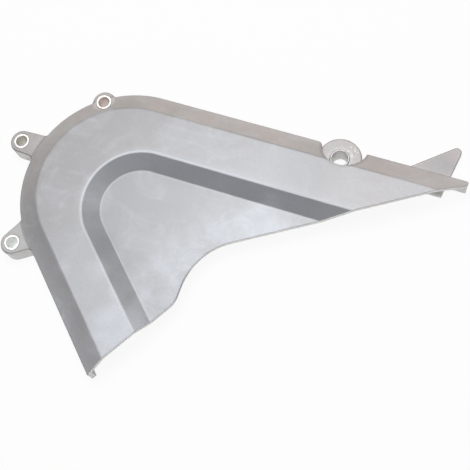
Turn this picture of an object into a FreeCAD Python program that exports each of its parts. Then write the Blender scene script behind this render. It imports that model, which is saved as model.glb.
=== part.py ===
import FreeCAD, Part
import math
import os
import Sketcher

# Moulded sprocket cover with pressed-in metal collars. Millimetres, +Z out of the engine.
# Origin: axis of the rear fixing at the mounting plane. +X runs along the long straight wall.

V = FreeCAD.Vector
doc = FreeCAD.newDocument("sprocket_cover")
sheet = doc.addObject("Spreadsheet::Sheet", "dims")

SIZES = {
    # outer wall: two straight sides joined by a round nose
    "nose_back": 104.6,
    "nose_below": 51.6,
    "rim_radius": 58.2,
    "leg_angle": 43.1,
    "wall_height": 10,
    "band_run": 10.95,
    "band_drop": 6.5,
    "shell": 2.5,
    # recessed inner panel, with a sloped ramp down to it
    "panel_back": 93,
    "panel_below": 58,
    "ramp_radius": 30.15,
    "ramp_run": 9.05,
    "recess": 4.5,
    # open side of the cover
    "tip_front": 67,
    "tip_round": 2.5,
    "tip_outer_round": 1.2,
    "tail_cut_angle": 31.6,
    "tail_cut_below": 37.6,
    "bay_back": 55.7,
    "bay_round": 35.5,
    "bay_corner_below": 100.9,
    "bay_corner_round": 14,
    "leg_cut_angle": 58.8,
    # fixing lugs and bosses
    "boss_radius": 6.6,
    "lug_a_back": 172.7,
    "lug_a_below": 40.4,
    "lug_a_turn": 0,
    "lug_a_flare": 2,
    "lug_b_back": 152.9,
    "lug_b_below": 96.8,
    "lug_b_turn": 48,
    "lug_b_flare": 14,
    "top_back": 136.4,
    "top_below": 4.8,
    "top_flare": 0,
    "seat_clearance": 0.4,
    "rear_boss_radius": 11.8,
    "notch_radius": 12.1,
    "notch_front": 0.8,
    "notch_above": 6.2,
    "notch_left_round": 3,
    "notch_right_round": 1,
    "root_round": 3,
    # flat pointed tab at the tail
    "tab_thickness": 3,
    "tab_tip_front": 60.2,
    "tab_tip_above": 30.3,
    "tab_round": 2.6,
    "tab_side_angle": 82,
    "tab_top_angle": 40.5,
    "tab_inset": 2,
    # soft moulded edges
    "top_round": 2.5,
    "ramp_round": 2.5,
    "foot_round": 1.5,
    "lug_round": 0.8,
    # metal collars
    "collar_outer": 8.6,
    "collar_inner": 6.4,
    "rear_collar_outer": 10.4,
    "rear_collar_inner": 8.4,
    "collar_proud": 0.4,
    "collar_chamfer": 0.25,
}

# values worked out from the driving sizes
DERIVED = {
    "top": "wall_height + band_drop",
    "band_slope": "atan(band_drop / band_run)",
    "ramp_slope": "atan(recess / ramp_run)",
    "top_radius": "rim_radius - band_run",
    "panel_radius": "ramp_radius - ramp_run",
    "panel_level": "top - recess",
    "ceiling": "top - shell",
    "inner_radius": "rim_radius - shell",
    "inner_height": "wall_height - shell * (1 - sin(band_slope)) / cos(band_slope)",
    "inner_top_radius": "top_radius - shell * tan(band_slope / 2)",
    "tray_level": "panel_level - shell",
    "tray_radius": "panel_radius + shell * tan(ramp_slope / 2)",
    "tray_top": "top - shell / 2",
    "tray_top_radius": "tray_radius + (tray_top - tray_level) * ramp_run / recess",
    "ramp_over": "top + 1",
    "ramp_over_radius": "ramp_radius + ramp_run / recess",
    "floor": "wall_height - shell",
    "wall_line": "rim_radius - nose_below",
    "tail_reach": "nose_back + tip_front + 15",
    "leg_reach": "rim_radius * 2",
    "lug_a_reach": "hypot(lug_a_back - nose_back; lug_a_below - nose_below) - rim_radius / 2",
    "lug_b_reach": "hypot(lug_b_back - nose_back; lug_b_below - nose_below) - rim_radius / 2",
    "top_reach": "hypot(top_back - nose_back; top_below - nose_below) - rim_radius / 2",
    "top_turn": "atan2(top_below - nose_below; top_back - nose_back) / 1 deg",
}

row = 1
for alias, number in SIZES.items():
    sheet.set("A%d" % row, alias)
    sheet.set("B%d" % row, str(number))
    sheet.setAlias("B%d" % row, alias)
    row += 1
for alias, formula in DERIVED.items():
    sheet.set("A%d" % row, alias)
    sheet.set("B%d" % row, "=" + formula)
    sheet.setAlias("B%d" % row, alias)
    row += 1
doc.recompute()


def value(expression):
    """The present number of an expression on the sheet."""
    result = sheet.evalExpression(expression)
    return float(getattr(result, "Value", result))


def bind(obj, path, expression):
    """Drives a property by sheet names, each written as dims.name."""
    obj.setExpression(path, expression)


def d(name):
    """A sheet name as an expression writes it."""
    return "dims." + name


def new_body(label):
    body = doc.addObject("PartDesign::Body", label)
    body.Label = label
    return body


def new_sketch(body, label, level=None, role="XY_Plane"):
    """Sketch on one of the body's planes, lifted to a level of the sheet."""
    sketch = body.newObject("Sketcher::SketchObject", label)
    plane = [f for f in body.Origin.OriginFeatures if f.Role == role][0]
    sketch.AttachmentSupport = (plane, [""])
    sketch.MapMode = "FlatFace"
    if level:
        bind(sketch, ".AttachmentOffset.Base.z", level)
    return sketch


def rule(sketch, name, expression, kind, *where):
    """Adds a driving constraint and ties it to the sheet."""
    number = value(expression)
    if kind == "Angle":
        number = math.radians(number)
    index = sketch.addConstraint(Sketcher.Constraint(kind, *where, number))
    sketch.renameConstraint(index, name)
    bind(sketch, "Constraints." + name, expression)


def fix(sketch, kind, *where):
    sketch.addConstraint(Sketcher.Constraint(kind, *where))


def segment(sketch, start, end):
    return sketch.addGeometry(Part.LineSegment(V(*start, 0), V(*end, 0)), False)


def arc(sketch, centre, radius, first, last):
    circle = Part.Circle(V(*centre, 0), V(0, 0, 1), radius)
    part = Part.ArcOfCircle(circle, math.radians(first), math.radians(last))
    return sketch.addGeometry(part, False)


def polar(centre, radius, degrees):
    turn = math.radians(degrees)
    return (centre[0] + radius * math.cos(turn), centre[1] + radius * math.sin(turn))


START, END, CENTRE = 1, 2, 3
ORIGIN = (-1, 1)


def nose_outline(body, label, back, below, radius, level):
    """Straight tail side, round nose and straight leg side, closed beyond the open side."""
    sketch = new_sketch(body, label, level)
    centre = (-value(back), -value(below))
    r = value(radius)
    leg = value(d("leg_angle"))
    tail_far = (centre[0] + value(d("tail_reach")), centre[1] + r)
    leg_near = polar(centre, r, 270 - leg)
    leg_far = polar(leg_near, value(d("leg_reach")), -leg)
    tail = segment(sketch, tail_far, (centre[0], centre[1] + r))
    nose = arc(sketch, centre, r, 90, 270 - leg)
    side = segment(sketch, leg_far, leg_near)
    chord = segment(sketch, tail_far, leg_far)
    fix(sketch, "Tangent", tail, END, nose, START)
    fix(sketch, "Tangent", nose, END, side, END)
    fix(sketch, "Coincident", chord, START, tail, START)
    fix(sketch, "Coincident", chord, END, side, START)
    fix(sketch, "Horizontal", tail)
    rule(sketch, "back", back, "DistanceX", nose, CENTRE, *ORIGIN)
    rule(sketch, "below", below, "DistanceY", nose, CENTRE, *ORIGIN)
    rule(sketch, "radius", radius, "Radius", nose)
    rule(sketch, "leg", "180 - " + d("leg_angle"), "Angle", side)
    rule(sketch, "tail_reach", d("tail_reach"), "DistanceX", nose, CENTRE, tail, START)
    rule(sketch, "leg_reach", d("leg_reach"), "Distance", side)
    return sketch


def outer_outline(body, label, radius, level):
    return nose_outline(body, label, d("nose_back"), d("nose_below"), radius, level)


def panel_outline(body, label, radius, level):
    return nose_outline(body, label, d("panel_back"), d("panel_below"), radius, level)


def pad(body, sketch, label, length):
    feature = body.newObject("PartDesign::Pad", label)
    feature.Profile = sketch
    bind(feature, "Length", length)
    return feature


def loft(body, kind, label, first, second):
    feature = body.newObject("PartDesign::" + kind, label)
    feature.Profile = first
    feature.Sections = [second]
    feature.Ruled = True
    return feature


def circle_sketch(body, label, x, y, radius, level=None):
    """Circle at a place given by sheet expressions of its X and Y."""
    sketch = new_sketch(body, label, level)
    place = V(value(x), value(y), 0)
    ring = sketch.addGeometry(Part.Circle(place, V(0, 0, 1), value(radius)), False)
    rule(sketch, "x", x, "DistanceX", *ORIGIN, ring, CENTRE)
    rule(sketch, "y", y, "DistanceY", *ORIGIN, ring, CENTRE)
    rule(sketch, "radius", radius, "Radius", ring)
    return sketch


def lug_sketch(body, label, lug):
    """Rounded lug end at a fixing, flaring towards the wall and reaching well inside it."""
    sketch = new_sketch(body, label)
    centre = (-value(d(lug + "_back")), -value(d(lug + "_below")))
    r = value(d("boss_radius"))
    upper = value(d(lug + "_turn")) + value(d(lug + "_flare"))
    lower = value(d(lug + "_turn")) - value(d(lug + "_flare"))
    length = value(d(lug + "_reach"))
    upper_near = polar(centre, r, upper + 90)
    lower_near = polar(centre, r, lower - 90)
    upper_far = polar(upper_near, length, upper)
    lower_far = polar(lower_near, length, lower)
    end = arc(sketch, centre, r, upper + 90, lower + 270)
    top = segment(sketch, upper_near, upper_far)
    bottom = segment(sketch, lower_near, lower_far)
    close = segment(sketch, upper_far, lower_far)
    fix(sketch, "Tangent", end, START, top, START)
    fix(sketch, "Tangent", end, END, bottom, START)
    fix(sketch, "Coincident", close, START, top, END)
    fix(sketch, "Coincident", close, END, bottom, END)
    rule(sketch, "back", d(lug + "_back"), "DistanceX", end, CENTRE, *ORIGIN)
    rule(sketch, "below", d(lug + "_below"), "DistanceY", end, CENTRE, *ORIGIN)
    rule(sketch, "radius", d("boss_radius"), "Radius", end)
    rule(sketch, "upper", d(lug + "_turn") + " + " + d(lug + "_flare"), "Angle", top)
    rule(sketch, "lower", d(lug + "_turn") + " - " + d(lug + "_flare"), "Angle", bottom)
    rule(sketch, "upper_length", d(lug + "_reach"), "Distance", top)
    rule(sketch, "lower_length", d(lug + "_reach"), "Distance", bottom)
    return sketch


def round_edges(body, label, radius, wanted):
    """Rounds the edges of the body's last feature that the test picks out."""
    doc.recompute()
    base = body.Tip
    names = ["Edge%d" % (i + 1) for i, e in enumerate(base.Shape.Edges) if wanted(e)]
    feature = body.newObject("PartDesign::Fillet", label)
    feature.Base = (base, names)
    bind(feature, "Radius", radius)
    doc.recompute()
    return feature


def middle(edge):
    return edge.valueAt((edge.FirstParameter + edge.LastParameter) / 2)


def at_level(edge, level):
    return all(abs(v.Z - level) < 1e-4 for v in edge.Vertexes) and abs(middle(edge).z - level) < 1e-4


def nose_distance(point, back, below):
    """How far a point lies out from the nose centre, square to the side it is nearest."""
    x = point.x + value(back)
    y = point.y + value(below)
    leg = math.radians(value(d("leg_angle")))
    out_leg = -x * math.sin(leg) - y * math.cos(leg)
    if x >= 0 and y > 0:
        return y
    if x * math.cos(leg) - y * math.sin(leg) >= 0:
        return out_leg
    return math.hypot(x, y)


# outer form: solid block with lugs and bosses, then the sloped band on top
form = new_body("form")
wall_outline = outer_outline(form, "wall_outline", d("rim_radius"), None)
pad(form, wall_outline, "wall", d("wall_height"))
FIXINGS = ("lug_a", "lug_b", "top")
for fixing in FIXINGS:
    pad(form, lug_sketch(form, fixing + "_outline", fixing), fixing + "_pad", d("wall_height"))


def outer_distance(edge):
    return nose_distance(middle(edge), d("nose_back"), d("nose_below"))


def near_fixing(edge, reach):
    spot = middle(edge)
    for name in FIXINGS:
        x = spot.x + value(d(name + "_back"))
        y = spot.y + value(d(name + "_below"))
        if math.hypot(x, y) < reach:
            return True
    return False


def is_root(edge):
    """Upright inside corner where a lug or boss meets the wall."""
    if edge.Curve.TypeId != "Part::GeomLine" or abs(edge.Curve.Direction.z) < 0.99:
        return False
    on_wall = abs(outer_distance(edge) - value(d("rim_radius"))) < 0.01
    return on_wall and near_fixing(edge, value(d("boss_radius")) * 3)


def is_lug_rim(edge):
    """Upper rim of a lug or boss, outside the wall."""
    outside = outer_distance(edge) > value(d("rim_radius")) + 0.05
    return at_level(edge, value(d("wall_height"))) and outside


def on_outer(radius, level):
    def test(edge):
        on_line = abs(outer_distance(edge) - value(radius)) < 0.01
        return on_line and at_level(edge, value(level))
    return test


def on_panel(radius, level):
    def test(edge):
        out = nose_distance(middle(edge), d("panel_back"), d("panel_below"))
        return abs(out - value(radius)) < 0.01 and at_level(edge, value(level))
    return test


round_edges(form, "root_rounding", d("root_round"), is_root)
round_edges(form, "lug_rounding", d("lug_round"), is_lug_rim)
band_low = outer_outline(form, "band_foot", d("rim_radius"), d("wall_height"))
band_high = outer_outline(form, "band_head", d("top_radius"), d("top"))
loft(form, "AdditiveLoft", "band", band_low, band_high)
round_edges(form, "top_rounding", d("top_round"), on_outer(d("top_radius"), d("top")))


def tab_sketch(body, label):
    """Pointed finger with a rounded tip; its root lies inside the wall."""
    sketch = new_sketch(body, label)
    side = value(d("tab_side_angle"))
    slope = value(d("tab_top_angle"))
    r = value(d("tab_round"))
    tip = (value(d("tab_tip_front")), value(d("tab_tip_above")))
    floor = -value(d("tab_inset"))
    reach = r / math.tan(math.radians((side - slope) / 2))
    side_near = polar(tip, -reach, side)
    top_near = polar(tip, -reach, slope)
    centre = polar(side_near, r, side + 90)
    side_foot = polar(tip, (floor - tip[1]) / math.sin(math.radians(side)), side)
    top_foot = polar(tip, (0 - tip[1]) / math.sin(math.radians(slope)), slope)
    right = segment(sketch, side_foot, side_near)
    end = arc(sketch, centre, r, side - 90, slope + 90)
    left = segment(sketch, top_foot, top_near)
    drop = segment(sketch, top_foot, (top_foot[0], floor))
    base = segment(sketch, (top_foot[0], floor), side_foot)
    point = sketch.addGeometry(Part.Point(V(*tip, 0)), True)
    fix(sketch, "Tangent", right, END, end, START)
    fix(sketch, "Tangent", end, END, left, END)
    fix(sketch, "Coincident", left, START, drop, START)
    fix(sketch, "Coincident", drop, END, base, START)
    fix(sketch, "Coincident", base, END, right, START)
    fix(sketch, "Vertical", drop)
    fix(sketch, "Horizontal", base)
    fix(sketch, "PointOnObject", point, START, right)
    fix(sketch, "PointOnObject", point, START, left)
    fix(sketch, "PointOnObject", left, START, -1)
    rule(sketch, "front", d("tab_tip_front"), "DistanceX", *ORIGIN, point, START)
    rule(sketch, "above", d("tab_tip_above"), "DistanceY", *ORIGIN, point, START)
    rule(sketch, "side", d("tab_side_angle"), "Angle", right)
    rule(sketch, "slope", d("tab_top_angle"), "Angle", left)
    rule(sketch, "round", d("tab_round"), "Radius", end)
    rule(sketch, "inset", d("tab_inset"), "DistanceY", base, START, *ORIGIN)
    return sketch


pad(form, tab_sketch(form, "tab_outline"), "tab", d("tab_thickness"))
doc.recompute()


def notch_sketch(body, label):
    """Round notch open to the outside of the long wall, with a rounded mouth."""
    sketch = new_sketch(body, label)
    centre = (value(d("notch_front")), value(d("notch_above")))
    r = value(d("notch_radius"))
    wall = value(d("wall_line"))
    high = wall + 2 * r

    def mouth(radius):
        rise = centre[1] - (wall - radius)
        run = math.sqrt((r + radius) ** 2 - rise ** 2)
        return run, math.degrees(math.atan2(rise, run))

    left_round = value(d("notch_left_round"))
    right_round = value(d("notch_right_round"))
    left_run, left_lean = mouth(left_round)
    right_run, right_lean = mouth(right_round)
    left_x = centre[0] - left_run
    right_x = centre[0] + right_run
    bowl = arc(sketch, centre, r, 180 + left_lean, 360 - right_lean)
    left = arc(sketch, (left_x, wall - left_round), left_round, left_lean, 90)
    right = arc(sketch, (right_x, wall - right_round), right_round, 90, 180 - right_lean)
    left_side = segment(sketch, (left_x, wall), (left_x, high))
    right_side = segment(sketch, (right_x, wall), (right_x, high))
    lid = segment(sketch, (left_x, high), (right_x, high))
    fix(sketch, "Tangent", bowl, START, left, START)
    fix(sketch, "Tangent", bowl, END, right, END)
    fix(sketch, "Coincident", left, END, left_side, START)
    fix(sketch, "Coincident", right, START, right_side, START)
    fix(sketch, "Coincident", lid, START, left_side, END)
    fix(sketch, "Coincident", lid, END, right_side, END)
    fix(sketch, "Vertical", left_side)
    fix(sketch, "Vertical", right_side)
    fix(sketch, "Horizontal", lid)
    fix(sketch, "Vertical", left, END, left, CENTRE)
    fix(sketch, "Vertical", right, START, right, CENTRE)
    rule(sketch, "front", d("notch_front"), "DistanceX", *ORIGIN, bowl, CENTRE)
    rule(sketch, "above", d("notch_above"), "DistanceY", *ORIGIN, bowl, CENTRE)
    rule(sketch, "radius", d("notch_radius"), "Radius", bowl)
    rule(sketch, "left_mouth", d("notch_left_round"), "Radius", left)
    rule(sketch, "right_mouth", d("notch_right_round"), "Radius", right)
    rule(sketch, "left_wall", d("wall_line"), "DistanceY", *ORIGIN, left, END)
    rule(sketch, "right_wall", d("wall_line"), "DistanceY", *ORIGIN, right, START)
    rise_rule = "2 * " + d("notch_radius")
    rule(sketch, "left_rise", rise_rule, "DistanceY", left_side, START, left_side, END)
    return sketch


def cut_upwards(label, sketch):
    """Cuts everything above a sketch."""
    feature = form.newObject("PartDesign::Pocket", label)
    feature.Profile = sketch
    feature.Reversed = True
    bind(feature, "Length", d("top") + " * 2")
    doc.recompute()


def boss_profile(body, label, radius, height, rounding):
    """Half section of a round boss with a rounded upper rim, on the upright plane."""
    sketch = new_sketch(body, label, role="XZ_Plane")
    r = value(radius)
    h = value(height)
    soft = value(rounding)
    foot = segment(sketch, (0, 0), (r, 0))
    side = segment(sketch, (r, 0), (r, h - soft))
    rim = arc(sketch, (r - soft, h - soft), soft, 0, 90)
    head = segment(sketch, (r - soft, h), (0, h))
    axis = segment(sketch, (0, h), (0, 0))
    fix(sketch, "Coincident", foot, START, *ORIGIN)
    fix(sketch, "Coincident", foot, END, side, START)
    fix(sketch, "Tangent", side, END, rim, START)
    fix(sketch, "Tangent", rim, END, head, START)
    fix(sketch, "Coincident", head, END, axis, START)
    fix(sketch, "Coincident", axis, END, foot, START)
    fix(sketch, "Horizontal", foot)
    fix(sketch, "Vertical", side)
    fix(sketch, "Vertical", axis)
    rule(sketch, "radius", radius, "Distance", foot)
    rule(sketch, "height", height, "Distance", axis)
    rule(sketch, "rounding", rounding, "Radius", rim)
    return sketch


top_place = ("-" + d("top_back"), "-" + d("top_below"))
seat_radius = d("boss_radius") + " + " + d("seat_clearance")
seat_outline = circle_sketch(form, "top_seat_outline", *top_place, seat_radius, d("wall_height"))
cut_upwards("top_seat", seat_outline)
cut_upwards("rear_notch", notch_sketch(form, "rear_notch_outline"))
rear_sizes = (d("rear_boss_radius"), d("wall_height"), d("lug_round"))
rear_profile = boss_profile(form, "rear_boss_profile", *rear_sizes)
rear_boss = form.newObject("PartDesign::Revolution", "rear_boss")
rear_boss.Profile = rear_profile
rear_boss.ReferenceAxis = (rear_profile, ["V_Axis"])

ramp_high = panel_outline(form, "ramp_head", d("ramp_over_radius"), d("ramp_over"))
ramp_low = panel_outline(form, "ramp_foot", d("panel_radius"), d("panel_level"))
loft(form, "SubtractiveLoft", "recess_cut", ramp_high, ramp_low)
doc.recompute()
round_edges(form, "ramp_rounding", d("ramp_round"), on_panel(d("ramp_radius"), d("top")))
round_edges(form, "foot_rounding", d("foot_round"), on_panel(d("panel_radius"), d("panel_level")))

# hollow under the cover, one shell thickness inside the outer form
hollow = new_body("hollow")
hollow_outline = outer_outline(hollow, "hollow_outline", d("inner_radius"), None)
pad(hollow, hollow_outline, "hollow_wall", d("inner_height"))
hollow_low = outer_outline(hollow, "hollow_foot", d("inner_radius"), d("inner_height"))
hollow_high = outer_outline(hollow, "hollow_head", d("inner_top_radius"), d("ceiling"))
loft(hollow, "AdditiveLoft", "hollow_band", hollow_low, hollow_high)

# underside of the recessed panel and its ramp
tray = new_body("tray")
tray_high = panel_outline(tray, "tray_head", d("tray_top_radius"), d("tray_top"))
tray_low = panel_outline(tray, "tray_foot", d("tray_radius"), d("tray_level"))
loft(tray, "AdditiveLoft", "tray_solid", tray_high, tray_low)
doc.recompute()


def post(label, x, y, radius, low, height):
    """Upright cylinder bound to the sheet."""
    cylinder = doc.addObject("Part::Cylinder", label)
    cylinder.Label = label
    bind(cylinder, ".Placement.Base.x", x)
    bind(cylinder, ".Placement.Base.y", y)
    bind(cylinder, ".Placement.Base.z", low)
    bind(cylinder, "Radius", radius)
    bind(cylinder, "Height", height)
    return cylinder


# what stays standing inside the hollow: bosses, seat cups, tab root and panel
over_floor = d("top") + " - " + d("floor")
top_cup = seat_radius + " + " + d("shell")
rear_cup = d("notch_radius") + " + " + d("shell")
kept = [
    tray,
    post("top_post", *top_place, d("boss_radius"), "0", d("wall_height")),
    post("top_cup", *top_place, top_cup, d("floor"), over_floor),
    post("rear_post", "0", "0", d("rear_boss_radius"), "0", d("wall_height")),
    post("rear_cup", d("notch_front"), d("notch_above"), rear_cup, "0", d("top")),
]
tab_root = new_body("tab_root")
pad(tab_root, tab_sketch(tab_root, "tab_root_outline"), "tab_root_pad", d("tab_thickness"))
kept.append(tab_root)

inner_parts = doc.addObject("Part::MultiFuse", "inner_parts")
inner_parts.Shapes = kept
space = doc.addObject("Part::Cut", "space")
space.Base = hollow
space.Tool = inner_parts
doc.recompute()
shelled = doc.addObject("Part::Cut", "shelled")
shelled.Base = form
shelled.Tool = space
doc.recompute()


def open_side_sketch(body, label):
    """Everything beyond the open side: tip, tail cut, bay and leg cut, closed far outside."""
    sketch = new_sketch(body, label)
    tip = value(d("tip_front"))
    slope = value(d("tail_cut_angle"))
    steep = value(d("leg_cut_angle"))
    bay = -value(d("bay_back"))
    tan_slope = math.tan(math.radians(slope))
    tan_steep = math.tan(math.radians(steep))
    far = value(d("tail_reach"))
    deep = d("bay_corner_below") + " + 2 * " + d("rim_radius")
    high = value(d("rim_radius"))

    def on_tail(x):
        return (x, x * tan_slope - value(d("tail_cut_below")))

    bend = on_tail(bay)
    corner = (bay, -value(d("bay_corner_below")))
    r_bay = value(d("bay_round"))
    r_corner = value(d("bay_corner_round"))
    r_tip = value(d("tip_round"))
    t_bay = r_bay * math.tan(math.radians((90 - slope) / 2))
    t_corner = r_corner * math.tan(math.radians((90 - steep) / 2))
    t_tip = r_tip / math.tan(math.radians((90 + slope) / 2))
    peak = on_tail(tip)
    tip_low = (tip, peak[1] + t_tip)
    tip_in = polar(peak, -t_tip, slope)
    bay_in = polar(bend, t_bay, slope)
    bay_out = (bay, bend[1] - t_bay)
    leg_in = (bay, corner[1] + t_corner)
    leg_out = polar(corner, -t_corner, steep)
    low = -value(deep)
    leg_far = (corner[0] + (low - corner[1]) / tan_steep, low)

    front = segment(sketch, (tip, high), tip_low)
    nose = arc(sketch, (tip - r_tip, tip_low[1]), r_tip, slope - 90, 0)
    tail = segment(sketch, bay_in, tip_in)
    bow = arc(sketch, polar(bay_in, r_bay, slope - 90), r_bay, slope + 90, 180)
    back = segment(sketch, bay_out, leg_in)
    knee = arc(sketch, (bay - r_corner, leg_in[1]), r_corner, steep - 90, 0)
    leg = segment(sketch, leg_far, leg_out)
    bottom = segment(sketch, leg_far, (far, leg_far[1]))
    side = segment(sketch, (far, leg_far[1]), (far, high))
    lid = segment(sketch, (far, high), (tip, high))
    cross = sketch.addGeometry(Part.Point(V(0, on_tail(0)[1], 0)), True)
    turn = sketch.addGeometry(Part.Point(V(*corner, 0)), True)

    fix(sketch, "Tangent", front, END, nose, END)
    fix(sketch, "Tangent", nose, START, tail, END)
    fix(sketch, "Tangent", tail, START, bow, START)
    fix(sketch, "Tangent", bow, END, back, START)
    fix(sketch, "Tangent", back, END, knee, END)
    fix(sketch, "Tangent", knee, START, leg, END)
    fix(sketch, "Coincident", leg, START, bottom, START)
    fix(sketch, "Coincident", bottom, END, side, START)
    fix(sketch, "Coincident", side, END, lid, START)
    fix(sketch, "Coincident", lid, END, front, START)
    fix(sketch, "Vertical", front)
    fix(sketch, "Vertical", back)
    fix(sketch, "Vertical", side)
    fix(sketch, "Horizontal", bottom)
    fix(sketch, "Horizontal", lid)
    fix(sketch, "PointOnObject", cross, START, -2)
    fix(sketch, "PointOnObject", cross, START, tail)
    fix(sketch, "PointOnObject", turn, START, back)
    fix(sketch, "PointOnObject", turn, START, leg)
    rule(sketch, "tip_front", d("tip_front"), "DistanceX", *ORIGIN, front, START)
    rule(sketch, "tip_round", d("tip_round"), "Radius", nose)
    rule(sketch, "tail_below", d("tail_cut_below"), "DistanceY", cross, START, *ORIGIN)
    rule(sketch, "tail_angle", d("tail_cut_angle"), "Angle", tail)
    rule(sketch, "leg_angle", d("leg_cut_angle"), "Angle", leg)
    rule(sketch, "bay_round", d("bay_round"), "Radius", bow)
    rule(sketch, "bay_back", d("bay_back"), "DistanceX", back, START, *ORIGIN)
    rule(sketch, "corner_below", d("bay_corner_below"), "DistanceY", turn, START, *ORIGIN)
    rule(sketch, "corner_round", d("bay_corner_round"), "Radius", knee)
    rule(sketch, "far", d("tail_reach"), "DistanceX", *ORIGIN, side, START)
    rule(sketch, "high", d("rim_radius"), "DistanceY", *ORIGIN, front, START)
    rule(sketch, "low", deep, "DistanceY", leg, START, *ORIGIN)
    return sketch


def tip_corner_sketch(body, label):
    """What lies outside the rounded corner between the tip and the long wall."""
    sketch = new_sketch(body, label)
    r = value(d("tip_outer_round"))
    tip = value(d("tip_front"))
    wall = value(d("wall_line"))
    bend = arc(sketch, (tip - r, wall - r), r, 0, 90)
    rise = segment(sketch, (tip - r, wall), (tip - r, wall + r))
    lid = segment(sketch, (tip - r, wall + r), (tip + r, wall + r))
    side = segment(sketch, (tip + r, wall + r), (tip + r, wall - r))
    step = segment(sketch, (tip + r, wall - r), (tip, wall - r))
    fix(sketch, "Coincident", bend, END, rise, START)
    fix(sketch, "Coincident", rise, END, lid, START)
    fix(sketch, "Coincident", lid, END, side, START)
    fix(sketch, "Coincident", side, END, step, START)
    fix(sketch, "Coincident", step, END, bend, START)
    fix(sketch, "Vertical", rise)
    fix(sketch, "Horizontal", lid)
    fix(sketch, "Vertical", side)
    fix(sketch, "Horizontal", step)
    fix(sketch, "Vertical", bend, END, bend, CENTRE)
    fix(sketch, "Horizontal", bend, START, bend, CENTRE)
    rule(sketch, "round", d("tip_outer_round"), "Radius", bend)
    rule(sketch, "front", d("tip_front"), "DistanceX", *ORIGIN, bend, START)
    rule(sketch, "wall", d("wall_line"), "DistanceY", *ORIGIN, bend, END)
    rule(sketch, "rise", d("tip_outer_round"), "Distance", rise)
    rule(sketch, "step", d("tip_outer_round"), "Distance", step)
    return sketch


open_side = new_body("open_side")
open_outline = open_side_sketch(open_side, "open_outline")
open_cut = pad(open_side, open_outline, "open_block", "4 * " + d("top"))
open_cut.Midplane = True
tip_corner = new_body("tip_corner")
corner_outline = tip_corner_sketch(tip_corner, "tip_corner_outline")
corner_cut = pad(tip_corner, corner_outline, "tip_corner_block", "4 * " + d("top"))
corner_cut.Midplane = True
doc.recompute()
trimmings = doc.addObject("Part::MultiFuse", "trimmings")
trimmings.Shapes = [open_side, tip_corner]
trimmed = doc.addObject("Part::Cut", "trimmed")
trimmed.Base = shelled
trimmed.Tool = trimmings
doc.recompute()

# bores through the lugs and bosses, and the collars pressed into them
PLACES = {
    "collar_front_upper": ("-" + d("lug_a_back"), "-" + d("lug_a_below"), "collar"),
    "collar_front_lower": ("-" + d("lug_b_back"), "-" + d("lug_b_below"), "collar"),
    "collar_top": (*top_place, "collar"),
    "collar_rear": ("0", "0", "rear_collar"),
}
below = "-" + d("shell")
through = d("wall_height") + " + 2 * " + d("shell")
bores = doc.addObject("Part::MultiFuse", "bores")
bores.Shapes = [
    post("bore_" + name, x, y, d(size + "_outer") + " / 2", below, through)
    for name, (x, y, size) in PLACES.items()
]
cover = doc.addObject("Part::Cut", "cover")
cover.Label = "cover"
cover.Base = trimmed
cover.Tool = bores
cover.Refine = True


def is_collar_rim(edge):
    level = value(d("wall_height") + " + " + d("collar_proud"))
    return edge.Curve.TypeId == "Part::GeomCircle" and at_level(edge, level)


def collar(label, x, y, size):
    """Plain metal sleeve, a little proud of its lug, with broken upper edges."""
    body = new_body(label)
    sketch = new_sketch(body, label + "_rings")
    for ring_name in ("outer", "inner"):
        width = d(size + "_" + ring_name)
        ring = sketch.addGeometry(Part.Circle(V(0, 0, 0), V(0, 0, 1), value(width) / 2), False)
        fix(sketch, "Coincident", ring, CENTRE, *ORIGIN)
        rule(sketch, ring_name, width, "Diameter", ring)
    sleeve = pad(body, sketch, label + "_sleeve", d("wall_height") + " + " + d("collar_proud"))
    doc.recompute()
    rims = [i + 1 for i, e in enumerate(sleeve.Shape.Edges) if is_collar_rim(e)]
    chamfer = body.newObject("PartDesign::Chamfer", label + "_chamfer")
    chamfer.Base = (sleeve, ["Edge%d" % i for i in rims])
    quarter_wall = "(" + d(size + "_outer") + " - " + d(size + "_inner") + ") / 8"
    bind(chamfer, "Size", "min(" + d("collar_chamfer") + "; " + quarter_wall + ")")
    bind(body, ".Placement.Base.x", x)
    bind(body, ".Placement.Base.y", y)
    return body


nodes = [cover]
for name, (x, y, size) in PLACES.items():
    nodes.append(collar(name, x, y, size))
doc.recompute()

# every object must be sound before anything is written
for obj in doc.Objects:
    if "Invalid" in obj.State or "Error" in obj.State:
        raise RuntimeError(obj.Label + " did not compute")
for node in nodes:
    if node.Shape.isNull() or not node.Shape.isValid() or len(node.Shape.Solids) != 1:
        raise RuntimeError(node.Label + " is not one sound solid")

os.makedirs("parts", exist_ok=True)
for node in nodes:
    node.Shape.exportStep("parts/%s.step" % node.Label)
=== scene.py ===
import math

import bpy
from mathutils import Matrix, Vector


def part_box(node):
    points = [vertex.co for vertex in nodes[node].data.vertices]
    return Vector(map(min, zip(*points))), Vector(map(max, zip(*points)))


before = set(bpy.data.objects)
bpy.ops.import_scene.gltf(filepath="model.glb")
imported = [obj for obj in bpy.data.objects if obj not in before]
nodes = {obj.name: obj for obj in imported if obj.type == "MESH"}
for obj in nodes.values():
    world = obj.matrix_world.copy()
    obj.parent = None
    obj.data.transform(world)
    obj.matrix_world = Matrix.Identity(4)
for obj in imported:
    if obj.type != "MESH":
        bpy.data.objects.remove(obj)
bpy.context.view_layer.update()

MM = 0.001
UP = (0, 0, 1)

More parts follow.
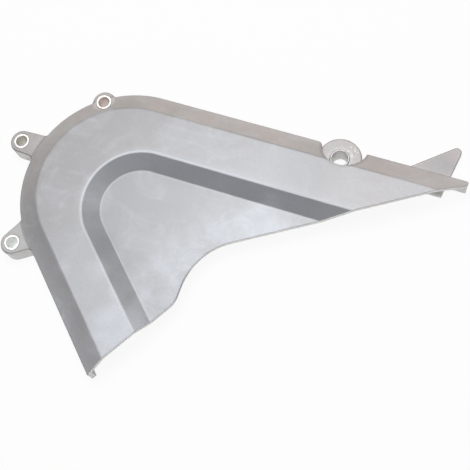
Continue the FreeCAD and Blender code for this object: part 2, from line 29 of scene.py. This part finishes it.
# landmarks on the moulding, in millimetres in the part's own frame
NOSE = (-104.6, -51.6, 0)  # the top face and the wall run round this corner
TOP_EDGE = 47.25           # from that corner to the edge of the top face
WALL = 58.2                # from that corner to the wall
PANEL = (-93, -58, 0)      # the ramp runs round this corner
RAMP_FOOT = 21.1           # from that corner to the ramp's foot
RAMP_HEAD = 30.15          # from that corner to the ramp's head
BAY = (-20.2, -91.7, 0)
BAY_ROUND = 35.5
NOTCH = (0.8, 6.2, 0)
NOTCH_ROUND = 12.1
REAR_BORE = (0, 0, 0)
BOSS_CHIPS = (4.6, 5.6, 0)
TAB_MIDDLE = (56.5, 23.0, 0)
LOWER_LUG = (-150, -99, 0)
PANEL_GLARE = (-27, -48, 0)

# directions in plan: down the leg, and out of the side that is open at the tail
LEG_TURN = math.radians(-43.1)
LEG_WAY = (math.cos(LEG_TURN), math.sin(LEG_TURN), 0)
TAIL_CUT_TURN = math.radians(31.6)
TAIL_CUT_AT = (0, -37.6, 0)
OPEN_WAY = (math.sin(TAIL_CUT_TURN), -math.cos(TAIL_CUT_TURN), 0)
WIPE_TURN = math.radians(-12)

# soft marks on the moulding: x, y, full within, gone beyond, weight
# a weight below zero takes haze away
HAZE_MARKS = (
    (-84.5, -45.1, 2.5, 5.5, 0.11),
    (-69.0, -69.7, 1.0, 8.0, 0.20),
    (-64.0, -84.3, 2.0, 9.0, 0.18),
    (-27.0, -47.0, 4.0, 18.0, 0.44),
    (-37.0, -41.0, 5.0, 15.0, -0.26),
    (-19.0, -41.5, 3.0, 11.0, -0.16),
    (-9.0, -40.0, 2.0, 8.0, -0.14),
    (-57.0, -43.0, 3.0, 10.0, -0.12),
    (-61.0, -102.0, 3.0, 12.0, -0.22),
    (-56.0, -78.0, 2.0, 7.0, 0.14),
    (-57.0, -94.0, 2.0, 8.0, 0.12),
    (-48.0, -57.0, 2.0, 9.0, 0.16),
    (-72.0, -109.0, 2.0, 9.0, 0.16),
    (-132.0, -59.0, 1.0, 9.0, 0.12),
    (-99.0, -98.0, 1.0, 9.0, 0.16),
    (-118.5, -58.0, 4.0, 14.0, 0.13),
    (-66.6, -117.6, 4.0, 14.0, 0.11),
    (8.5, 2.5, 1.0, 6.0, 0.15),
    (-77.0, -126.0, 8.0, 20.0, 0.36),
    (-79.2, -136.4, 0.6, 1.8, 0.80),
    (12.0, -11.0, 10.0, 36.0, -0.20),
    (-50.0, -13.0, 8.0, 30.0, -0.10),
    (-132.0, -46.0, 8.0, 24.0, -0.16),
)
GRIME_MARKS = (
    (-103.1, -83.4, 3.0, 12.0, 0.25),
    (48.0, 14.0, 4.0, 16.0, 0.16),
    (-13.0, -14.0, 6.0, 24.0, 0.18),
)
# ends of the hollow painted pale, as dust and as painted light in the shade there: x, y, z, full
# within, gone beyond
PALE_HOLLOW_ENDS = (
    (54.0, -1.2, 2.0, 12.0, 20.0),
    (-83.6, -145.4, 2.0, 8.0, 14.0),
)


def colour(r, g, b):
    return (r, g, b, 1)


# colours of the moulding, of what lies on it, and of painted light and shade on it
GREY = colour(0.260, 0.252, 0.263)
SUNK_GREY = colour(0.242, 0.247, 0.268)
WARM_LIT_GREY = colour(0.262, 0.249, 0.236)
HAZE_AND_HIGHLIGHT = colour(0.556, 0.582, 0.630)
GLARE = colour(0.690, 0.740, 0.800)
WARM_LIGHT_TINT = colour(0.420, 0.362, 0.342)
PALE_DUST = colour(0.560, 0.545, 0.530)
ROSY_DUST = colour(0.500, 0.400, 0.405)
PALE_DUST_AND_LIGHT = colour(0.880, 0.870, 0.845)
WASHER_RING = colour(0.640, 0.600, 0.610)
CHIPPED = colour(0.840, 0.790, 0.770)
CHALK = colour(0.530, 0.515, 0.505)
GRIME_AND_SHADE = colour(0.092, 0.104, 0.124)
PAINTED_SHADE_GREY = colour(0.122, 0.104, 0.094)
TAB_RIM = colour(0.560, 0.555, 0.545)
PALE_WEAR_AND_HIGHLIGHT = colour(0.52, 0.52, 0.53)
DARK_EDGE_SHADE = colour(0.13, 0.13, 0.135)
LIP_SHADE = colour(0.085, 0.085, 0.088)

# the collars: bore's radius, bare steel, film on it, stain in the bore that is also painted pale
# as painted light in the bore's shade
BRIGHT = (colour(0.70, 0.695, 0.68), colour(0.50, 0.485, 0.46))
DULL = (colour(0.200, 0.195, 0.185), colour(0.140, 0.135, 0.125))
COLLARS = {
    "collar_front_upper": (3.2, *BRIGHT, colour(0.60, 0.595, 0.535)),
    "collar_front_lower": (3.2, *BRIGHT, colour(0.84, 0.87, 0.85)),
    "collar_top": (3.2, *BRIGHT, colour(0.70, 0.615, 0.57)),
    "collar_rear": (4.2, *DULL, colour(0.66, 0.655, 0.64)),
}
STAINED_METAL = 0.95

# floor and world
WHITE = colour(1, 1, 1)
FLOOR_HALF = 1.5
FLOOR_DROP = 0.0002
FLOOR_GREY = colour(0.9, 0.9, 0.9)
FLOOR_WHITE_SHARE = 0.92
AMBIENT = 0.10

# lamps: direction from the part, distance, size, watts, tint
LAMPS = {
    "overhead_right": ((0.0, 0.20, 0.97), 0.9, 0.5, 3.6, (0.97, 0.99, 1.0)),
    "overhead_left": ((-0.25, 0.26, 0.93), 0.9, 0.5, 3.1, (0.99, 0.99, 1.0)),
    "front_low": ((0.15, -0.95, 0.20), 0.9, 0.6, 2.6, (1.0, 0.99, 0.97)),
    "far_side": ((0.0, 0.97, 0.22), 1.1, 0.8, 2.3, (1.0, 0.85, 0.68)),
}
LAMPS_AIM = Vector((-0.04, -0.055, 0.01))

# camera at the photograph's viewing angle
CAMERA_AT = Vector((0.0642, -0.1774, 0.4385))
CAMERA_BACK = Vector((0.2253, -0.2643, 0.9378))
CAMERA_UP = Vector((-0.2830, 0.9033, 0.3225))
CAMERA_SENSOR = 36
CAMERA_LENS = 67.21


class Graph:
    """One material, with short ways to add nodes to it."""

    def __init__(self, name):
        self.material = bpy.data.materials.new(name)
        self.material.use_nodes = True
        self.tree = self.material.node_tree
        self.tree.nodes.clear()

    def feed(self, socket, source):
        if isinstance(source, bpy.types.NodeSocket):
            self.tree.links.new(source, socket)
        else:
            socket.default_value = source

    def node(self, kind, inputs=None, **settings):
        made = self.tree.nodes.new(kind)
        for key, setting in settings.items():
            setattr(made, key, setting)
        for key, source in (inputs or {}).items():
            self.feed(made.inputs[key], source)
        return made

    def math(self, operation, first, second=0.0):
        made = self.node("ShaderNodeMath", {0: first, 1: second}, operation=operation)
        return made.outputs[0]

    def vector(self, operation, first, second):
        made = self.node("ShaderNodeVectorMath", {0: first, 1: second}, operation=operation)
        return made.outputs["Value" if operation in ("DOT_PRODUCT", "DISTANCE") else "Vector"]

    def scale(self, vector, factor):
        inputs = {0: vector, "Scale": factor}
        return self.node("ShaderNodeVectorMath", inputs, operation="SCALE").outputs["Vector"]

    def plan(self, place, origin):
        """Way from an origin to a place, seen from above."""
        return self.vector("MULTIPLY", self.vector("SUBTRACT", place, origin), (1, 1, 0))

    def radius(self, place, centre):
        """Distance from a centre, seen from above."""
        return self.vector("DISTANCE", self.plan(place, centre), (0, 0, 0))

    def reach(self, place, corner):
        """Distance in plan from a corner and the two straight sides that run from it."""
        arm = self.plan(place, corner)
        gaps = []
        for way in ((1, 0, 0), LEG_WAY):
            along = self.math("MAXIMUM", self.vector("DOT_PRODUCT", arm, way))
            gaps.append(self.vector("DISTANCE", arm, self.scale(way, along)))
        return self.math("MINIMUM", *gaps)

    def ramp(self, source, low, high, to_low=0.0, to_high=1.0):
        """Smooth step from one range to another."""
        inputs = {"Value": source, "From Min": low, "From Max": high}
        inputs["To Min"] = to_low
        inputs["To Max"] = to_high
        made = self.node("ShaderNodeMapRange", inputs, interpolation_type="SMOOTHSTEP")
        return made.outputs["Result"]

    def fade(self, source, low, high):
        """1 up to a low value, falling to 0 at a high one."""
        return self.ramp(source, low, high, 1.0, 0.0)

    def spot(self, place, centre, inner, outer):
        """1 near a centre, falling to 0 further out, seen from above."""
        return self.fade(self.radius(place, centre), inner, outer)

    def total(self, *parts):
        """Sum of weighted masks."""
        result = None
        for weight, mask in parts:
            part = self.math("MULTIPLY", mask, weight)
            result = part if result is None else self.math("ADD", result, part)
        return result

    def product(self, *masks):
        result = masks[0]
        for mask in masks[1:]:
            result = self.math("MULTIPLY", result, mask)
        return result

    def millimetres(self):
        """Place on the part in millimetres, in the part's own frame."""
        place = self.node("ShaderNodeTexCoord").outputs["Object"]
        return self.vector("MULTIPLY", place, (1 / MM, 1 / MM, 1 / MM))

    def noise(self, place, size, detail, roughness=0.5, distortion=0.0, output="Fac"):
        """Soft noise whose blotches are about the given size in millimetres."""
        inputs = {"Vector": place, "Scale": 1 / size, "Detail": detail}
        inputs["Roughness"] = roughness
        inputs["Distortion"] = distortion
        return self.node("ShaderNodeTexNoise", inputs).outputs[output]

    def blend(self, factor, first, second):
        """Mix of two colours."""
        made = self.node("ShaderNodeMix", data_type="RGBA")
        self.feed(made.inputs[0], factor)
        self.feed(made.inputs[6], first)
        self.feed(made.inputs[7], second)
        return made.outputs[2]

    def tint(self, tone, weight, mask, paint):
        """A tone with some paint over it where the mask is."""
        return self.blend(self.math("MULTIPLY", mask, weight), tone, paint)

    def rounded(self, radius):
        """Normal as if the edges were rounded by a radius in millimetres."""
        return self.node("ShaderNodeBevel", {"Radius": radius * MM}, samples=6).outputs["Normal"]

    def bump(self, height, strength, depth, normal=None):
        """Normal with a relief of a depth in millimetres."""
        inputs = {"Height": height, "Strength": strength, "Distance": depth * MM}
        if normal is not None:
            inputs["Normal"] = normal
        return self.node("ShaderNodeBump", inputs).outputs["Normal"]

    def output(self, shader):
        self.node("ShaderNodeOutputMaterial", {"Surface": shader})


class Moulding(Graph):
    """The moulding's material, with the places and masks that its layers share."""

    def __init__(self, name):
        super().__init__(name)
        self.place = self.millimetres()
        spread = self.node("ShaderNodeSeparateXYZ", {0: self.place}).outputs
        self.x, self.y, self.z = spread["X"], spread["Y"], spread["Z"]
        self.panel_out = self.reach(self.place, PANEL)
        self.nose_out = self.reach(self.place, NOSE)

        # a place that strays by some millimetres, so that soft marks get ragged
        drift = self.noise(self.place, size=9, detail=3, output="Color")
        shift = self.scale(self.vector("SUBTRACT", drift, (0.5, 0.5, 0.5)), 8.0)
        self.loose = self.vector("ADD", self.place, shift)

        grain = self.noise(self.place, size=14, detail=4, roughness=0.6)
        self.patchy = self.ramp(grain, 0.3, 0.7, 0.65, 1.0)
        grain = self.noise(self.place, size=1.8, detail=3, roughness=0.6)
        self.scuff = self.ramp(grain, 0.35, 0.60, 0.35, 1.0)
        self.speckle = self.noise(self.place, size=0.7, detail=3, roughness=0.6)

        self.on_panel = self.fade(self.panel_out, RAMP_FOOT - 0.6, RAMP_FOOT)
        self.on_ramp = self.product(self.ramp(self.panel_out, RAMP_FOOT - 0.3, RAMP_FOOT + 0.5),
                                    self.fade(self.panel_out, RAMP_HEAD - 0.8, RAMP_HEAD))
        self.on_top = self.product(self.ramp(self.panel_out, RAMP_HEAD, RAMP_HEAD + 0.8),
                                   self.fade(self.nose_out, TOP_EDGE - 0.8, TOP_EDGE))
        self.on_band = self.ramp(self.nose_out, TOP_EDGE - 0.3, TOP_EDGE + 0.7)
        self.outside = self.ramp(self.nose_out, WALL, WALL + 0.2)
        self.on_lug = self.product(self.outside, self.fade(self.x, -115, -110))
        self.on_tab = self.product(self.outside, self.ramp(self.x, 18, 20))
        self.by_edge = self.beside_open_edge()
        washer = self.fade(self.radius(self.place, REAR_BORE), 6.4, 7.4)
        self.washer = self.product(washer, self.scuff)
        self.soft = self.rounded(0.7)

    def beside_open_edge(self):
        """Clouds along the bay and the straight cut at the tail."""
        from_bay = self.math("SUBTRACT", self.radius(self.loose, BAY), BAY_ROUND)
        into_cut = self.vector("DOT_PRODUCT", self.plan(self.loose, TAIL_CUT_AT), OPEN_WAY)
        from_cut = self.math("MULTIPLY", into_cut, -1.0)
        strip = self.fade(self.math("MAXIMUM", from_bay, from_cut), 4, 32)
        grain = self.noise(self.place, size=10, detail=4, roughness=0.65, distortion=0.6)
        return self.product(strip, self.ramp(grain, 0.36, 0.64, 0.50, 1.20))

    def marks(self, table):
        """Weighted soft spots from a table of marks."""
        return [(weight, self.spot(self.loose, (x, y, 0), inner, outer))
                for x, y, inner, outer, weight in table]


def haze_and_highlights(g):
    """Share of pale haze on the moulding, with painted highlights along the ramp's head and foot
    and painted light on the band by the wall's brink.
    """
    # all over: clouds, smaller blooms and wiping streaks, less of them on the ramp
    grain = g.noise(g.place, size=30, detail=4, roughness=0.6, distortion=1.0)
    cloud = g.ramp(grain, 0.42, 0.68)
    grain = g.noise(g.place, size=8, detail=4, roughness=0.6, distortion=0.5)
    bloom = g.ramp(grain, 0.45, 0.75)
    wiped = g.node("ShaderNodeMapping", {"Vector": g.place, "Scale": (0.12, 1, 1)})
    wiped.inputs["Rotation"].default_value = (0, 0, WIPE_TURN)
    grain = g.noise(wiped.outputs["Vector"], size=3.2, detail=3, roughness=0.6)
    streak = g.ramp(grain, 0.50, 0.72)
    thick = g.math("ADD", cloud, 0.35)
    film = g.total((0.22, cloud),
                   (0.17, g.product(bloom, thick)),
                   (0.11, g.product(streak, thick)))
    film = g.product(film, g.ramp(g.on_ramp, 0.0, 1.0, 1.0, 0.45))

    # more haze by the panel's open edge and down the leg; painted highlights along the ramp's
    # head and foot, and painted light on the band at the wall's brink
    down_leg = g.ramp(g.vector("DOT_PRODUCT", g.plan(g.loose, NOSE), LEG_WAY), -20, 40)
    roll = g.product(g.ramp(g.panel_out, RAMP_HEAD - 0.6, RAMP_HEAD + 0.3),
                     g.ramp(g.y, -85, -35, 0.38, 1.0))
    crest_highlight = g.product(roll, g.fade(g.panel_out, RAMP_HEAD + 0.6, RAMP_HEAD + 5.5))
    head_highlight = g.product(roll, g.fade(g.panel_out, RAMP_HEAD + 0.4, RAMP_HEAD + 1.6))
    foot_highlight = g.product(g.ramp(g.panel_out, RAMP_FOOT - 1.3, RAMP_FOOT - 0.7),
                          g.fade(g.panel_out, RAMP_FOOT - 0.3, RAMP_FOOT + 0.2),
                          g.ramp(g.y, -75, -40, 0.3, 1.0))
    brink_light = g.product(g.ramp(g.nose_out, WALL - 4.5, WALL - 0.8),
                      g.fade(g.nose_out, WALL, WALL + 0.3))
    return g.total((1.0, film),
                   (0.66, g.product(g.by_edge, g.on_panel)),
                   (0.42, g.product(down_leg, g.on_top)),
                   (0.10, g.product(down_leg, g.on_band)),
                   (0.22, crest_highlight),
                   (0.85, head_highlight),
                   (0.13, foot_highlight),
                   (0.45, g.washer),
                   (0.10, brink_light),
                   *g.marks(HAZE_MARKS))


def hazy_tone(g, film):
    """The moulding's own colours with painted warm light on part of the band, under the haze and
    its painted highlights, and the glare on the panel.
    """
    sunk = g.fade(g.panel_out, RAMP_HEAD - 0.5, RAMP_HEAD)
    tone = g.blend(sunk, GREY, SUNK_GREY)
    # painted warm light: the band's left side is tinted warm, as if lit by warm bounce light
    warm_band_light = g.product(g.on_band, g.ramp(g.y, -100, -50), g.fade(g.x, -110, -50))
    tone = g.blend(warm_band_light, tone, WARM_LIT_GREY)
    # the haze colour also paints the highlights along the ramp and the lighter brink of the band
    tone = g.blend(film, tone, HAZE_AND_HIGHLIGHT)
    glare = g.product(g.on_panel, g.by_edge, g.spot(g.loose, PANEL_GLARE, 6, 25))
    return g.tint(tone, 0.46, glare, GLARE)


def dust_and_warm_light_tone(g, tone):
    """Painted warm light on the upper side of the sloped band and towards the tail's tip, and
    dust on the tab.
    """
    # painted warm light: a warm tint on the side where warm light from the far side falls
    upper = g.ramp(g.y, -88, -12)
    at_tip = g.ramp(g.x, -50, 55, 0.0, 0.75)
    warm_light = g.product(upper, g.math("MAXIMUM", g.on_band, at_tip), g.patchy)
    tone = g.tint(tone, 0.55, warm_light, WARM_LIGHT_TINT)
    by_wall = g.product(g.on_tab, g.fade(g.nose_out, WALL + 1.0, WALL + 5.0), g.scuff)
    tone = g.tint(tone, 0.45, by_wall, PALE_DUST)
    rosy = g.product(g.on_tab, g.spot(g.loose, TAB_MIDDLE, 2, 9))
    return g.tint(tone, 0.40, rosy, ROSY_DUST)


def scuffed_tone(g, tone):
    """A pale ring on the rear boss, where a washer sat, and chips on one side of it."""
    grain = g.noise(g.place, size=1.3, detail=3, roughness=0.6)
    chips = g.product(g.spot(g.place, BOSS_CHIPS, 2.0, 4.5), g.ramp(grain, 0.48, 0.58))
    tone = g.tint(tone, 0.40, g.washer, WASHER_RING)
    return g.tint(tone, 0.60, chips, CHIPPED)


def chalk_grime_and_shade_tone(g, tone):
    """Chalk on the lower lug, grime marks, and painted shade on the ramp by the tail, below the
    top's edge, at the lugs' roots and round the notch.
    """
    chalk = g.product(g.on_lug, g.fade(g.y, -85, -70), g.patchy)
    tone = g.tint(tone, 0.62, chalk, CHALK)
    # painted shade: the ramp by the tail, which faces away from the lamps, is darkened; the
    # grime marks add to it
    tail_ramp_shade = g.product(g.on_ramp,
                        g.ramp(g.y, -75, -38),
                        g.ramp(g.x, -112, -85, 0.6, 1.0))
    tone = g.blend(g.total((0.46, tail_ramp_shade), *g.marks(GRIME_MARKS)), tone, GRIME_AND_SHADE)
    # painted shade: darker below the top's edge, at the lugs' roots and round the notch's rim
    below_top = g.product(g.on_band,
                          g.fade(g.nose_out, TOP_EDGE + 0.4, TOP_EDGE + 7.5),
                          g.fade(g.y, -60, -20))
    lug_root = g.product(g.on_lug, g.fade(g.nose_out, WALL + 0.5, WALL + 1.6))
    from_notch = g.radius(g.place, NOTCH)
    notch_rim = g.product(g.ramp(from_notch, NOTCH_ROUND - 0.1, NOTCH_ROUND + 0.1),
                          g.fade(from_notch, NOTCH_ROUND + 0.6, NOTCH_ROUND + 1.9))
    painted_shade = g.total((0.21, below_top), (0.70, lug_root), (0.45, notch_rim))
    tone = g.blend(painted_shade, tone, PAINTED_SHADE_GREY)
    return g.scale(tone, g.ramp(g.speckle, 0.3, 0.7, 0.93, 1.06))


def dust_and_front_light_share(g):
    """Share of pale dust and painted front light on faces towards the open side, and of painted
    light in the shaded ends of the hollow.
    """
    normal = g.node("ShaderNodeTexCoord").outputs["Normal"]
    dust_and_light = g.ramp(g.vector("DOT_PRODUCT", normal, OPEN_WAY), 0.50, 0.80)
    facing_down = g.fade(g.vector("DOT_PRODUCT", normal, UP), -0.5, -0.2)
    low = g.fade(g.z, 6.5, 7.5)
    in_hollow = g.product(g.math("MAXIMUM", facing_down, low),
                          g.fade(g.nose_out, WALL - 1.2, WALL - 0.4))
    for x, y, z, inner, outer in PALE_HOLLOW_ENDS:
        near = g.fade(g.vector("DISTANCE", g.place, (x, y, z)), inner, outer)
        dust_and_light = g.math("MAXIMUM", dust_and_light, g.product(near, in_hollow))
    grain = g.noise(g.place, size=3, detail=4, roughness=0.65)
    less_on_lower_lug = g.ramp(g.spot(g.place, LOWER_LUG, 9, 15), 0.0, 1.0, 1.0, 0.62)
    return g.product(dust_and_light, g.ramp(grain, 0.30, 0.60, 0.80, 1.0), less_on_lower_lug)


def edge_wear_and_shade_tone(g, tone):
    """Edges rubbed pale with painted highlights inside the wall, painted shade on edges outside
    it and as an outline on the tab, a rim on the tab, and a painted shade line below the lugs'
    faces.
    """
    flat = g.node("ShaderNodeNewGeometry").outputs["Normal"]
    near_edge = g.math("SUBTRACT", 1.0, g.vector("DOT_PRODUCT", g.rounded(2.0), flat))
    tab_rim = g.product(g.on_tab,
                        g.ramp(near_edge, 0.005, 0.03, 0.0, 0.55),
                        g.fade(near_edge, 0.06, 0.12))
    tone = g.blend(tab_rim, tone, TAB_RIM)
    at_edge = g.math("SUBTRACT", 1.0, g.vector("DOT_PRODUCT", g.soft, flat))
    grain = g.noise(g.place, size=4, detail=4, roughness=0.7)
    worn_and_shaded_edges = g.product(g.ramp(at_edge, 0.01, 0.16), g.ramp(grain, 0.35, 0.65, 0.15, 0.75))
    outlined = g.product(g.on_tab, g.ramp(near_edge, 0.06, 0.14, 0.0, 0.50))
    # painted light on edges: a pale highlight with wear inside the wall, dark shade outside it
    edge_wear_and_light = g.blend(g.outside, PALE_WEAR_AND_HIGHLIGHT, DARK_EDGE_SHADE)
    tone = g.blend(g.math("MAXIMUM", worn_and_shaded_edges, outlined), tone, edge_wear_and_light)
    # painted shade: a dark line where the lugs' rounded edges turn towards the open side
    leaning = g.vector("DOT_PRODUCT", g.soft, OPEN_WAY)
    lip_shade = g.product(g.on_lug, g.ramp(leaning, 0.08, 0.25), g.fade(leaning, 0.55, 0.85))
    return g.tint(tone, 0.75, lip_shade, LIP_SHADE)


def plastic():
    """Dark grey moulded plastic: fine grain, pale haze, dust, grime and worn edges, with painted
    highlights, painted warm light and painted shade.
    """
    g = Moulding("moulding")
    # the haze share also carries painted highlights and painted light
    film = haze_and_highlights(g)
    tone = hazy_tone(g, film)
    tone = dust_and_warm_light_tone(g, tone)
    tone = scuffed_tone(g, tone)
    tone = chalk_grime_and_shade_tone(g, tone)
    dust_and_light = dust_and_front_light_share(g)
    # painted light: faces turned to the open side and the shaded ends of the hollow are painted
    # pale, with dust
    tone = g.blend(dust_and_light, tone, PALE_DUST_AND_LIGHT)
    tone = edge_wear_and_shade_tone(g, tone)
    rough = g.total((0.14, film),
                    (0.30, dust_and_light),
                    (1.0, g.ramp(g.speckle, 0.3, 0.7, 0.33, 0.39)))
    grain = g.noise(g.place, size=0.28, detail=3, roughness=0.55)
    fine = g.bump(grain, strength=0.10, depth=0.05, normal=g.soft)
    swell = g.noise(g.place, size=16, detail=2, roughness=0.5)
    wave = g.bump(swell, strength=0.12, depth=0.5, normal=fine)
    inputs = {"Base Color": tone, "Roughness": rough, "Normal": wave}
    shader = g.node("ShaderNodeBsdfPrincipled", inputs)
    shader.inputs["Specular IOR Level"].default_value = 1.0
    g.output(shader.outputs[0])
    return g.material


def steel(name, centre, bore, bare, film_tone, bore_stain_and_light):
    """Turned steel sleeve: fine rings round the bore, a dull film in places, a bore stained and
    painted pale as painted light in its shade.
    """
    g = Graph(name)
    place = g.millimetres()
    radius = g.radius(place, centre)
    height = g.node("ShaderNodeSeparateXYZ", {0: place}).outputs["Z"]
    lathe = g.node("ShaderNodeCombineXYZ", {"X": radius, "Y": height}).outputs[0]
    rings = g.noise(lathe, size=0.12, detail=3, roughness=0.6)
    film = g.ramp(g.noise(place, size=1.6, detail=4, roughness=0.65), 0.45, 0.70)
    tone = g.blend(film, bare, film_tone)
    inside = g.fade(radius, bore + 0.05, bore + 0.20)
    grain = g.noise(place, size=2.2, detail=4, roughness=0.7)
    # painted light: the bore's lining is stained and made pale where little light reaches it
    stained_and_lit_bore = g.product(inside, g.ramp(grain, 0.30, 0.65, 0.70, 1.0))
    tone = g.blend(stained_and_lit_bore, tone, bore_stain_and_light)
    rough = g.total((0.16, film), (0.20, inside), (1.0, g.ramp(rings, 0.3, 0.7, 0.24, 0.38)))
    metal = g.ramp(stained_and_lit_bore, 0.0, 1.0, 1.0, STAINED_METAL)
    normal = g.bump(rings, strength=0.25, depth=0.02)
    inputs = {"Base Color": tone, "Roughness": rough, "Metallic": metal, "Normal": normal}
    shader = g.node("ShaderNodeBsdfPrincipled", inputs)
    g.output(shader.outputs[0])
    return g.material


def dress(name, material):
    piece = nodes[name]
    piece.data.materials.clear()
    piece.data.materials.append(material)


dress("cover", plastic())
for name, look in COLLARS.items():
    low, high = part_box(name)
    centre = ((low[0] + high[0]) / 2 / MM, (low[1] + high[1]) / 2 / MM, 0)
    dress(name, steel(name + "_steel", centre, *look))


def seen_directly(tree):
    """1 where the camera, a gloss or clear glass looks, 0 for light that only spreads."""
    path = tree.nodes.new("ShaderNodeLightPath")
    seen = path.outputs["Is Camera Ray"]
    for ray in ("Is Glossy Ray", "Is Transmission Ray"):
        step = tree.nodes.new("ShaderNodeMath")
        step.operation = "MAXIMUM"
        tree.links.new(seen, step.inputs[0])
        tree.links.new(path.outputs[ray], step.inputs[1])
        seen = step.outputs[0]
    return seen


# floor: pale, white to the eye, and it keeps the part's shadow
floor_mesh = bpy.data.meshes.new("floor")
signs = [(-1, -1), (1, -1), (1, 1), (-1, 1)]
corners = [(x * FLOOR_HALF, y * FLOOR_HALF, 0) for x, y in signs]
floor_mesh.from_pydata(corners, [], [(0, 1, 2, 3)])
floor = bpy.data.objects.new("floor", floor_mesh)
floor.location = (0, 0, -FLOOR_DROP)
bpy.context.scene.collection.objects.link(floor)
g = Graph("floor")
matte = g.node("ShaderNodeBsdfDiffuse", {"Color": FLOOR_GREY}).outputs[0]
white = g.node("ShaderNodeEmission", {"Color": WHITE, "Strength": 1.0}).outputs[0]
share = g.math("MULTIPLY", seen_directly(g.tree), FLOOR_WHITE_SHARE)
mixed = g.node("ShaderNodeMixShader", {0: share, 1: matte, 2: white})
g.output(mixed.outputs[0])
floor.data.materials.append(g.material)

# world: white where it is looked at, a plain soft level where it only gives light
world = bpy.data.worlds.new("world")
world.use_nodes = True
bpy.context.scene.world = world
tree = world.node_tree
tree.nodes.clear()
glow = tree.nodes.new("ShaderNodeBackground")
glow.inputs["Color"].default_value = WHITE
level = tree.nodes.new("ShaderNodeMapRange")
level.inputs["To Min"].default_value = AMBIENT
level.inputs["To Max"].default_value = 1.0
tree.links.new(seen_directly(tree), level.inputs["Value"])
tree.links.new(level.outputs["Result"], glow.inputs["Strength"])
out = tree.nodes.new("ShaderNodeOutputWorld")
tree.links.new(glow.outputs[0], out.inputs["Surface"])


def soft_box(name, towards, distance, size, watts, tint):
    """Square lamp that looks at the part from the given direction."""
    data = bpy.data.lights.new(name, "AREA")
    data.shape = "SQUARE"
    data.size = size
    data.energy = watts
    data.color = tint
    lamp = bpy.data.objects.new(name, data)
    way = Vector(towards).normalized()
    lamp.location = LAMPS_AIM + way * distance
    lamp.rotation_euler = way.to_track_quat("Z", "Y").to_euler()
    lamp.visible_camera = False
    bpy.context.scene.collection.objects.link(lamp)


for name, setting in LAMPS.items():
    soft_box(name, *setting)

lens = bpy.data.cameras.new("camera")
lens.sensor_width = CAMERA_SENSOR
lens.lens = CAMERA_LENS
camera = bpy.data.objects.new("camera", lens)
back = CAMERA_BACK.normalized()
right = CAMERA_UP.cross(back).normalized()
up = back.cross(right)
turn = Matrix((right, up, back)).transposed()
camera.matrix_world = Matrix.Translation(CAMERA_AT) @ turn.to_4x4()
bpy.context.scene.collection.objects.link(camera)
bpy.context.scene.camera = camera
bpy.context.scene.view_settings.view_transform = "Standard"
